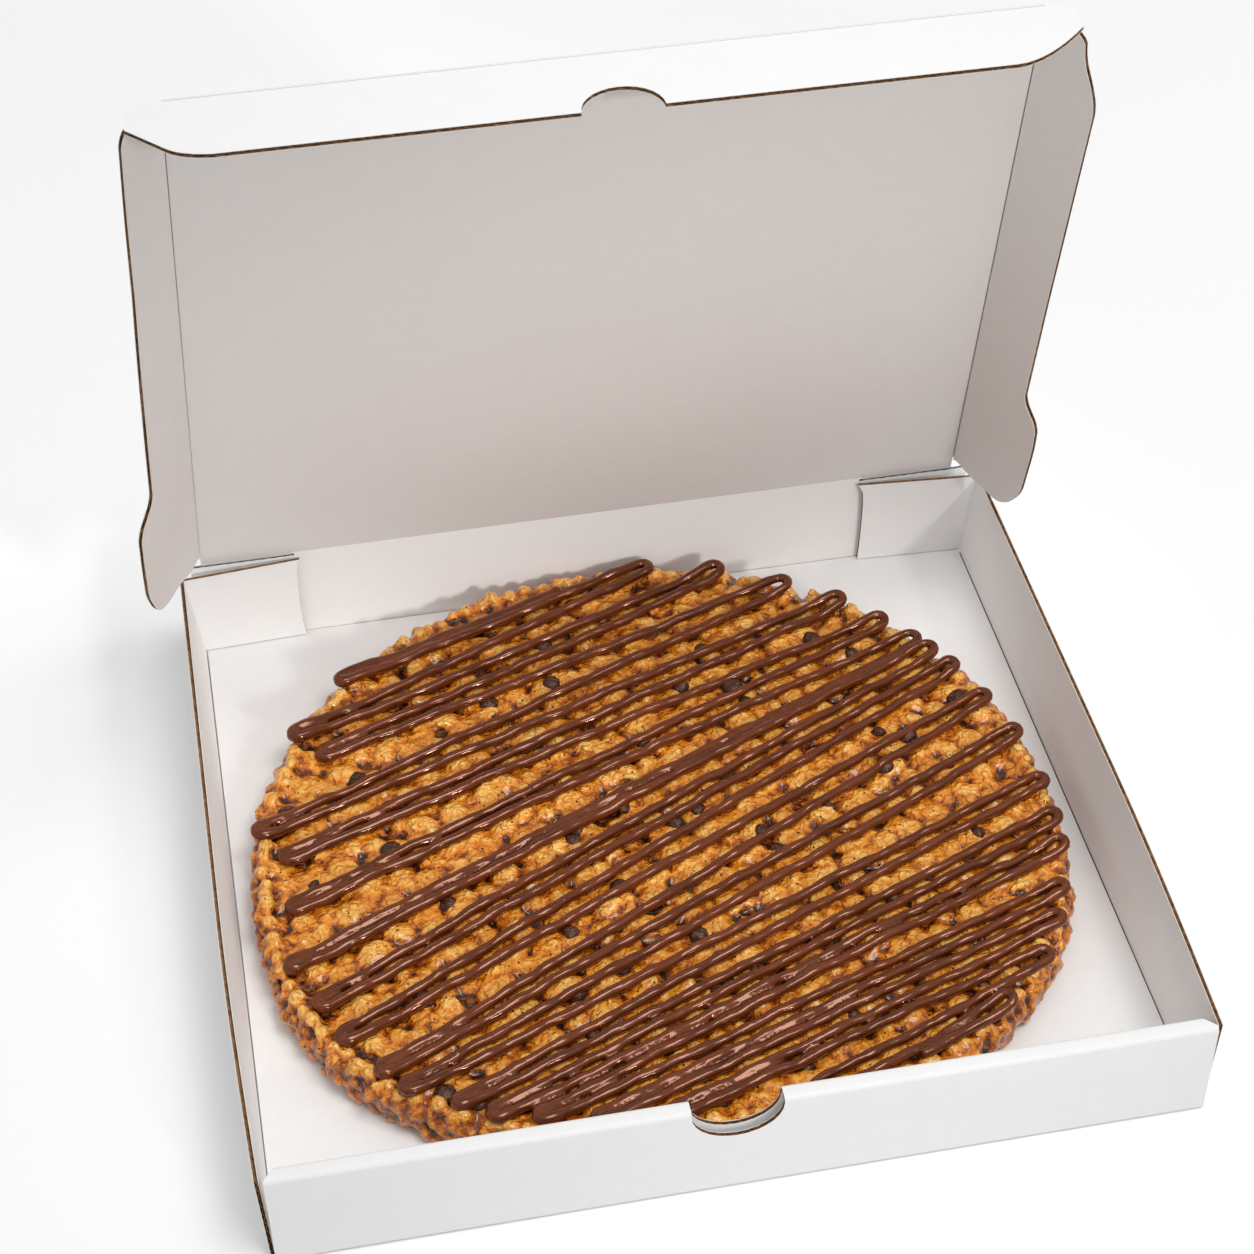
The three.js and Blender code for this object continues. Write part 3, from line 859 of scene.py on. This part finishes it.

# %% [markdown]
# Light and shade are painted into the dough's colour after its form: the tops of the lumps are golden as
# painted light, their sides orange, and the creases nearly black-brown as painted shade. So each point gets
# a number that says how much it stands out. It is the sum of two: the height over the smoothed surface, and
# the bend of the mesh at the point. The material's colour ramp reads it.

# %% How far each point stands out, which sets its painted light and shade
MAP_HALF = 156  # millimetres from the map's middle to its edge
RISE_LIMIT = 1.8


def height_map(thing):
    """The piece's height at every millimetre, felt by a ray from above, or the base where there is none."""
    tree = BVHTree.FromObject(thing, bpy.context.evaluated_depsgraph_get())
    size = 2 * MAP_HALF + 1
    grid = np.full((size, size), COOKIE_BASE)
    for row in range(size):
        for column in range(size):
            hit = tree.ray_cast((column - MAP_HALF, row - MAP_HALF, 100), Vector((0, 0, -1)))[0]
            if hit is not None:
                grid[row, column] = hit.z
    return grid


def blurred(grid, reach, times=2):
    for _ in range(times):
        for axis in (0, 1):
            shifted = (np.roll(grid, shift, axis) for shift in range(-reach, reach + 1))
            grid = sum(shifted) / (2 * reach + 1)
    return grid


def widened(grid, reach):
    """Each square takes the highest value around it."""
    for axis in (0, 1):
        grid = np.max([np.roll(grid, shift, axis) for shift in range(-reach, reach + 1)], axis=0)
    return grid


def sample(grid, x, y):
    """The grid's value between its points."""
    column, row = x + MAP_HALF, y + MAP_HALF
    c, r = np.floor(column).astype(int), np.floor(row).astype(int)
    a, b = column - c, row - r
    low = grid[r, c] * (1 - a) + grid[r, c + 1] * a
    high = grid[r + 1, c] * (1 - a) + grid[r + 1, c + 1] * a
    return low * (1 - b) + high * b


def bend_of_mesh(thing):
    """Above zero where the surface bulges at a point and below zero in a crease."""
    co, normals = points_of(thing), points_of(thing, "normal")
    edges = np.empty(len(thing.data.edges) * 2, dtype=np.int64)
    thing.data.edges.foreach_get("vertices", edges)
    a, b = edges.reshape(-1, 2).T
    step = unit(co[b] - co[a])

    def mean_of_edges(at_a, at_b):
        total = np.bincount(a, at_a, len(co)) + np.bincount(b, at_b, len(co))
        return total / np.maximum(np.bincount(edges, minlength=len(co)), 1)

    bend = mean_of_edges(-(normals[a] * step).sum(axis=1), (normals[b] * step).sum(axis=1))
    return 0.5 * bend + 0.5 * mean_of_edges(bend[b], bend[a])


def store(thing, name, values):
    attribute = thing.data.attributes.new(name, "FLOAT", "POINT")
    attribute.data.foreach_set("value", np.ascontiguousarray(values, dtype=np.float32))


dough_map = height_map(dough)
covered = (dough_map > COOKIE_BASE + 6).astype(float)
around = blurred(dough_map * covered, 4) / np.maximum(blurred(covered, 4), 0.05)
skin = points_of(dough)
rise = skin[:, 2] - sample(around, skin[:, 0], skin[:, 1])
bend = bend_of_mesh(dough)
to_rim = np.clip((share_of_rim(skin[:, 0], skin[:, 1]) - 0.9) / 0.1, 0, 1)
rise = np.clip(rise, -RISE_LIMIT, RISE_LIMIT) * (1 - 0.8 * to_rim)
# High points get painted light and creases painted shade through the colour ramp.
painted_light_and_shade = np.clip(0.60 + 0.19 * rise + 1.5 * bend, 0, 1)
store(dough, "painted_light_and_shade", painted_light_and_shade)
store(dough, "rim", to_rim)
print("stands out", np.percentile(painted_light_and_shade, [5, 50, 95]).round(2))

# %% Dough finish
# From near-black painted shade in the creases up to golden painted light on the lump tops.
DOUGH_SHADE_TO_LIGHT_TONES = [
    (0.06, (0.035, 0.007, 0.001)),
    (0.20, (0.25, 0.048, 0.002)),
    (0.37, (0.56, 0.145, 0.005)),
    (0.56, (0.84, 0.295, 0.015)),
    (0.88, (0.96, 0.54, 0.13)),
]
# Tiny pits are bumped in and coloured near black: painted shade inside them.
PIT_SHADE_COLOUR, PIT_SIZE = (0.03, 0.009, 0.003, 1.0), 0.11
WARP = (0.004, 0.004, 0.004)
baked = Finish(
    "baked_dough",
    Roughness=0.30,
    Specular_IOR_Level=0.5,
    Specular_Tint=(1.0, 0.84, 0.62, 1.0),
    Coat_Weight=0.8,
    Coat_Roughness=0.08,
    Coat_Tint=(1.0, 0.93, 0.80, 1.0),
)
# The painted light and shade that follow the form, read from the points.
lit_tops_shaded_creases = baked.node("ShaderNodeAttribute", {}, attribute_name="painted_light_and_shade").outputs["Fac"]
at_rim = baked.node("ShaderNodeAttribute", {}, attribute_name="rim").outputs["Fac"]
push = {0: baked.noise(260.0, output="Color"), 1: WARP, 2: baked.place}
wavy = baked.node("ShaderNodeVectorMath", push, operation="MULTIPLY_ADD").outputs[0]
creases = baked.math("MULTIPLY", baked.cells(300.0, "DISTANCE_TO_EDGE", wavy), 4.0)
creases = baked.math("MINIMUM", creases, 1.0)
folds = baked.math("ABSOLUTE", baked.math("SUBTRACT", baked.noise(230.0, 2.0, 0.45), 0.5))
folds = baked.math("MINIMUM", baked.math("MULTIPLY", folds, 11.0), 1.0)
speckle = baked.noise(700.0, 3.0, 0.65)
shown = lit_tops_shaded_creases
# Creases and fold lines also darken the colour a little: painted shade in them. The speckle and the patches
# are the dough's own uneven tone, and the rim is browner from the oven.
for value, middle, weight in (
    (creases, 0.85, 0.13),
    (folds, 0.8, 0.17),
    (speckle, 0.5, 0.16),
    (baked.noise(55.0, 3.0, 0.6), 0.5, 0.35),
    (at_rim, 0.0, -0.15),
):
    shown = baked.math("MULTIPLY_ADD", baked.math("SUBTRACT", value, middle), weight, shown)
pit = baked.math("LESS_THAN", baked.cells(260.0), PIT_SIZE)
mixed = {0: pit, 6: baked.ramp(shown, DOUGH_SHADE_TO_LIGHT_TONES), 7: PIT_SHADE_COLOUR}  # share, first and second colour
relief = baked.math("MULTIPLY", baked.cells(300.0, "SMOOTH_F1", wavy), -1.3)
for value, weight in ((creases, 0.25), (folds, 0.42), (speckle, 0.12), (pit, -0.8)):
    relief = baked.math("MULTIPLY_ADD", value, weight, relief)
baked.show(baked.node("ShaderNodeMix", mixed, data_type="RGBA").outputs[2], relief, 1.0, 0.0013)
paint(dough, baked)
print("dough finish:", len(baked.tree.nodes), "nodes")

# %% [markdown]
# ## The drizzle
# The chocolate was piped in one zigzag from the back to the front, and it set where it fell: over the
# lumps, sagging a little between them, thicker where the nozzle turned. It is one curve with a round bevel.
# Its points follow the dough's own height, and a remesh lets neighbouring strands run into each other.

# %% The zigzag's route
DRIZZLE_ANGLE = math.radians(23.5)
DRIZZLE_HALF_WIDTH = 1.95
DRIZZLE_LIFT = 1.3  # how high the strands' middle lies over the dough
DRIZZLE_VOXEL, DRIZZLE_TRIANGLES = 0.6, 195_000
LEFT_TURNS = [  # for each turn, how far it is across the strands from the cookie's middle, and along them
    (134, -56.2), (116, -83.5), (103, -79.6), (81, -118.3), (66, -115.3), (44, -124.8), (21, -138),
    (1, -138.2), (-16, -139.1), (-35, -135.4), (-48, -139.6), (-60, -122.4), (-73, -119), (-86, -112),
    (-97, -95), (-110, -72), (-127, -26), (-139, 12),
]
RIGHT_TURNS = [
    (125, 80.4), (106, 102.9), (86, 122.4), (65, 134.2), (46, 142), (30, 143.5), (21, 143.5), (9, 143),
    (-11, 142), (-33, 137), (-57, 129.1), (-74, 121.5), (-85, 113.6), (-100, 99.2), (-110, 89.4),
    (-121, 76.1), (-134, 54.1),
]
FIRST_POINT = (-13.8, 134.0)
TURN_LEFT, TURN_RIGHT = (1.8, 2.4), (2.5, 3.2)  # the least and the greatest radius of a turn
ROUTE_STEP = 1.5
STRAND_BOW, WANDER = 0.6, 0.24
RIM_LIMIT, FRONT_RETREAT = 0.968, 0.045


def on_cookie(across, along):
    """From the strands' own directions to the cookie's plane, kept off the rim and the lid's front flap."""
    cos, sin = math.cos(DRIZZLE_ANGLE), math.sin(DRIZZLE_ANGLE)
    point = np.array([along * cos - across * sin, along * sin + across * cos])
    limit = RIM_LIMIT - FRONT_RETREAT * max(0.0, -point[1] / COOKIE_FRONT) ** 4
    return point * min(1.0, limit / share_of_rim(*point))


def bowed(start, end):
    """The hand never moves quite straight: points of a shallow bow between two turns."""
    along = end - start
    aside = quarter_turn(unit(along))
    depth = draw.normal(0, STRAND_BOW)
    return [start + along * s + aside * depth * math.sin(math.pi * s) for s in np.linspace(0, 1, 9)[1:-1]]


def route():
    corners = [np.array(FIRST_POINT)]
    for left, right in zip(LEFT_TURNS, RIGHT_TURNS):
        corners += [on_cookie(*left), on_cookie(*right)]
    corners.append(on_cookie(*LEFT_TURNS[-1]))
    points = [corners[0]]
    for before, corner, after in zip(corners, corners[1:], corners[2:]):
        arriving, leaving = unit(corner - before), unit(after - corner)
        tip = unit(arriving - leaving)
        side = quarter_turn(tip)
        if np.dot(side, arriving + leaving) > 0:
            side = -side
        size = draw.uniform(*(TURN_RIGHT if corner[0] > 0 else TURN_LEFT))
        turns = np.radians(np.linspace(-90, 90, 7))
        arc_points = [corner + size * (tip * (math.cos(a) - 1) - side * math.sin(a)) for a in turns]
        points += bowed(points[-1], arc_points[0]) + arc_points
    points.append(corners[-1])
    return np.array(points), np.array(corners[1:-1])


bends, turns = route()
lengths = np.concatenate([[0], np.cumsum(np.linalg.norm(np.diff(bends, axis=0), axis=1))])
places = np.arange(0, lengths[-1], ROUTE_STEP)
line = np.column_stack([np.interp(places, lengths, bends[:, k]) for k in (0, 1)])


def uneven(waves):
    """A smooth random run along the route, from waves of the given lengths."""
    total = sum(np.sin(2 * math.pi * (places / wave + draw.uniform())) for wave in waves)
    return total / math.sqrt(len(waves))


heading = unit(np.gradient(line, axis=0))
line += quarter_turn(heading) * (WANDER * uneven((13, 19, 31, 57)))[:, None]
near_turn = np.min(np.linalg.norm(line[:, None] - turns[None], axis=2), axis=1)
tip_swell = np.exp(-((near_turn / 6.0) ** 2)) * np.where(line[:, 0] < 0, 0.5, 0.1)
bed = sample(blurred(widened(dough_map, 2), 1), line[:, 0], line[:, 1])
window = np.hanning(17)
bed = np.convolve(np.pad(bed, 8, mode="edge"), window / window.sum(), mode="valid")
half_width = DRIZZLE_HALF_WIDTH - 0.2 * np.clip(line[:, 0] / 90, 0, 1)
half_width = half_width + 0.17 * uneven((9, 17, 29)) + tip_swell
print("route", round(lengths[-1]), "mm,", len(places), "points")

# %% Pipe it
pipe_data = bpy.data.curves.new("drizzle", "CURVE")
pipe_data.dimensions = "3D"
pipe_data.bevel_depth = 1.0
pipe_data.bevel_resolution = 3
pipe_data.use_fill_caps = True
spline = pipe_data.splines.new("POLY")
spline.points.add(len(line) - 1)
for point, (x, y), z, size in zip(spline.points, line, bed + DRIZZLE_LIFT, half_width):
    point.co = (x, y, z, 1.0)
    point.radius = size
drizzle = bpy.data.objects.new("drizzle", pipe_data)
scene.collection.objects.link(drizzle)
activate(drizzle)
bpy.ops.object.convert(target="MESH")
drizzle = bpy.context.object
apply_modifier(drizzle, "REMESH", mode="VOXEL", voxel_size=DRIZZLE_VOXEL)
apply_modifier(drizzle, "SMOOTH", factor=0.5, iterations=2)
thin_out(drizzle, DRIZZLE_TRIANGLES)
print("drizzle:", len(drizzle.data.polygons), "faces")

# %% Chocolate finish
CHOCOLATE_TONES = [(0.35, (0.064, 0.010, 0.001)), (0.7, (0.142, 0.029, 0.005))]
milk = Finish("milk_chocolate", Roughness=0.15, Specular_IOR_Level=1.0, Specular_Tint=(1.0, 0.57, 0.42, 1.0))
drawn_out = {"Vector": milk.place, "Rotation": (0.0, 0.0, DRIZZLE_ANGLE), "Scale": (9.0, 1.0, 1.0)}
along = milk.node("ShaderNodeMapping", drawn_out, vector_type="TEXTURE").outputs["Vector"]
streaks = milk.noise(330.0, 3.0, 0.6, place=along)
grooves = milk.noise(420.0, 2.0, 0.5, place=along)
milk.show(milk.ramp(streaks, CHOCOLATE_TONES), grooves, 0.35, 0.0008)
paint(drizzle, milk)

# %% [markdown]
# ## Chocolate chips
# A chip is a drop that was let fall from a nozzle: a flat foot, a round belly and a small peak. Most are
# sunk in the dough, and the largest that show were placed where they are seen. The others follow a sunflower
# pattern, which spreads them evenly without rows.

# %% Chips
SEEN_CHIPS = [
    (-50, 79), (-25, 107), (76, 90), (22, 74), (6, 5.5), (86, 18.5), (35, -4), (39, -13), (26, -107),
    (5, -73), (34, 92.5), (41, 69), (-11, 17), (-29, 10), (-135, 39), (-102, 51), (-95, 12.5),
    (131, 52), (98, 32), (-19, -20), (3, -47), (-42, -64.5), (-96, -102),
]
SEEN_CHIP_RADIUS, CHIP_RADIUS = 4.9, 4.0
FURTHER_CHIPS, FURTHEST = 26, 132
GOLDEN_ANGLE = math.radians(137.5)
CHIP_DEPTH = 1.3


def chip_places():
    spots = [np.array(s, dtype=float) for s in SEEN_CHIPS]
    for i in range(FURTHER_CHIPS):
        angle = i * GOLDEN_ANGLE + 0.6
        reach = min(FURTHEST * math.sqrt((i + 0.5) / FURTHER_CHIPS), 0.93 * float(rim_radius(angle)))
        spots.append(np.array([reach * math.cos(angle), reach * math.sin(angle)]))
    smooth_map = blurred(dough_map, 1)
    for number, spot in enumerate(spots):
        spot = spot * min(1.0, 0.91 / float(share_of_rim(*spot)))
        height = float(sample(smooth_map, *spot))
        radius = SEEN_CHIP_RADIUS if number < len(SEEN_CHIPS) else CHIP_RADIUS
        scale = radius * draw.uniform(0.75, 1.08)
        lean = (draw.normal(0, 0.5), draw.normal(0, 0.5), draw.uniform(0, 6.28))
        yield placed((*spot, height - CHIP_DEPTH + draw.uniform(-1.0, 0.5)), lean, (scale,) * 3)


bpy.ops.mesh.primitive_uv_sphere_add(segments=14, ring_count=9, radius=1.0)
chip = bpy.context.object
co = points_of(chip)
up = np.clip(co[:, 2], 0, 1)
co[:, :2] *= (1 - 0.22 * up**1.5)[:, None]
co[:, 2] = np.where(co[:, 2] > 0, co[:, 2] * 0.85 + 0.08 * up**6, co[:, 2] * 0.45)
set_points(chip, co)
bpy.ops.object.shade_smooth()
chips = copies(chip, list(chip_places()))
chips.name = "chips"
CHIP_TONES = [(0.52, (0.040, 0.012, 0.006)), (0.75, (0.22, 0.13, 0.09))]
dark = Finish("dark_chocolate", Roughness=0.22, Specular_Tint=(1.0, 0.68, 0.55, 1.0))
bloom = dark.noise(900.0, 4.0, 0.7)
dark.show(dark.ramp(bloom, CHIP_TONES), bloom, 0.5, 0.0005)
paint(chips, dark)

# %% [markdown]
# The three pieces were built about the cookie's own middle, in millimetres. Now they move to their place in
# the tray and become metres.

# %% Set the cookie in the tray
for piece in (dough, drizzle, chips):
    co = points_of(piece)
    co[:, :2] += COOKIE_MIDDLE
    set_points(piece, co * MM)
    activate(piece)
    bpy.ops.object.shade_smooth()
    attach(piece, "tray")
    print(piece.name, np.min(co, axis=0).round(1), np.max(co, axis=0).round(1))
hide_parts("cookie")

# %% [markdown]
# ## Creases
# At a fold only the outer paper goes round the corner, in a small arc about the inner crease line. Each arc
# is a strip of its own, made in place where the open lid and its flaps stand.

# %% Outer paper round each fold
STEPS_ROUND = 6


def crease_strip(name, along, centre, first, second):
    """An arc of paper about the crease line, from the first panel's outer face to the second's."""
    strip = gridded(name, along, list(np.linspace(0, 1, STEPS_ROUND + 1)))
    u, share, _ = points_of(strip).T
    a, b = first(u), second(u)
    angle = np.arccos(np.clip((a * b).sum(axis=1), -1, 1))[:, None]
    share = share[:, None]
    outward = (np.sin((1 - share) * angle) * a + np.sin(share * angle) * b) / np.sin(angle)
    set_points(strip, (centre(u) + outward * BOARD) * MM)
    apply_modifier(strip, "SOLIDIFY", thickness=PAPER * MM, offset=-1.0)
    in_edit_mode(strip, bpy.ops.mesh.normals_make_consistent)
    paint(strip, coated_paper)
    activate(strip)
    bpy.ops.object.shade_smooth_by_angle(angle=math.radians(40))
    return strip


def share_between(strip, first, second):
    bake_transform(strip)
    print(strip.name, "bends between", first, "and", second)


def constant(vector):
    return lambda u: np.tile(np.array(vector, dtype=float), (len(u), 1))


def lid_direction(vectors):
    """Directions from the lid's frame to the open lid."""
    return from_lid(*vectors.T) - from_lid(*(0 * vectors).T)


lid_out = constant(lid_direction(np.array([[0.0, 0.0, 1.0]]))[0])
hinge_line = (0.0, BACK - BOARD, HINGE_HEIGHT)
hinge_crease = crease_strip(
    "hinge_crease",
    evenly(HINGE_SPAN[0] + 0.8, HINGE_SPAN[1] - 0.8, 40),
    lambda u: np.column_stack([u, 0 * u, 0 * u]) + hinge_line,
    constant((0, 1, 0)),
    lid_out,
)
start = np.array(hinge_line) + (0, BOARD, 0)
share_between(hinge_crease, "tray", "lid")

for side_name, side in SIDES:
    edge = FLAPS[side_name]["width"]

    def crease_centre(u, name=side_name, side=side):
        return from_lid(*lid_flap_frame(name, side, u)[0].T)

    def flap_out(u, name=side_name, side=side):
        return lid_direction(lid_flap_frame(name, side, u)[2])

    along = evenly(4.6, edge[-1][0], 8)
    strip = crease_strip(side_name + "_crease", along, crease_centre, lid_out, flap_out)
    at_hinge = np.array([0.0])
    up, out = lid_out(at_hinge)[0], flap_out(at_hinge)[0]
    start = crease_centre(at_hinge)[0] + up * BOARD
    flat = unit(out - up * np.dot(out, up))
    share_between(strip, "lid", "flap_" + side_name)

sine, cosine = math.sin(FRONT_FLAP_ANGLE), math.cos(FRONT_FLAP_ANGLE)
front_out = np.array([[0.0, -sine, cosine]])
front_crease = crease_strip(
    "front_crease",
    evenly(FLAP_LEFT + 11.4, FLAP_RIGHT - 8.6, 40),
    lambda u: from_lid(u, 0 * u - LID_LENGTH, 0 * u),
    lid_out,
    constant(lid_direction(front_out)[0]),
)
share_between(front_crease, "lid", "flap_front")

# %% [markdown]
# ## The frame's nodes
# Each board takes the place of the plain solids it stands for and rides on their body. Only the tray's floor
# stays as the frame has it: a flat panel under everything gains nothing from fluting.

# %% Which body each board rides on
front_nodes = ["front_board_outer", "front_board_inner", "front_ledge_left", "front_ledge_right"]
for board, body, nodes_replaced in (
    (back_wall, "tray", ["tray_wall_back"]),
    (side_walls["left"], "tray", ["tray_wall_left", "corner_flap_left"]),
    (side_walls["right"], "tray", ["tray_wall_right", "corner_flap_right"]),
    (rolled_front, "tray", front_nodes),
    (lid_panel, "lid", ["lid_panel"]),
    (lid_flaps["left"], "flap_left", ["lid_flap_left"]),
    (lid_flaps["right"], "flap_right", ["lid_flap_right"]),
    (front_flap, "flap_front", ["lid_flap_front"]),
):
    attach(board, body)
    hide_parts(*nodes_replaced)

# The lid and its flaps lean over the tray, so their inner faces take the paper with painted shade.
for panel in (lid_panel, *lid_flaps.values(), front_flap):
    panel.data.materials[INNER] = lid_shaded_paper.material
paint(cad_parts["tray_floor"], inner_paper)
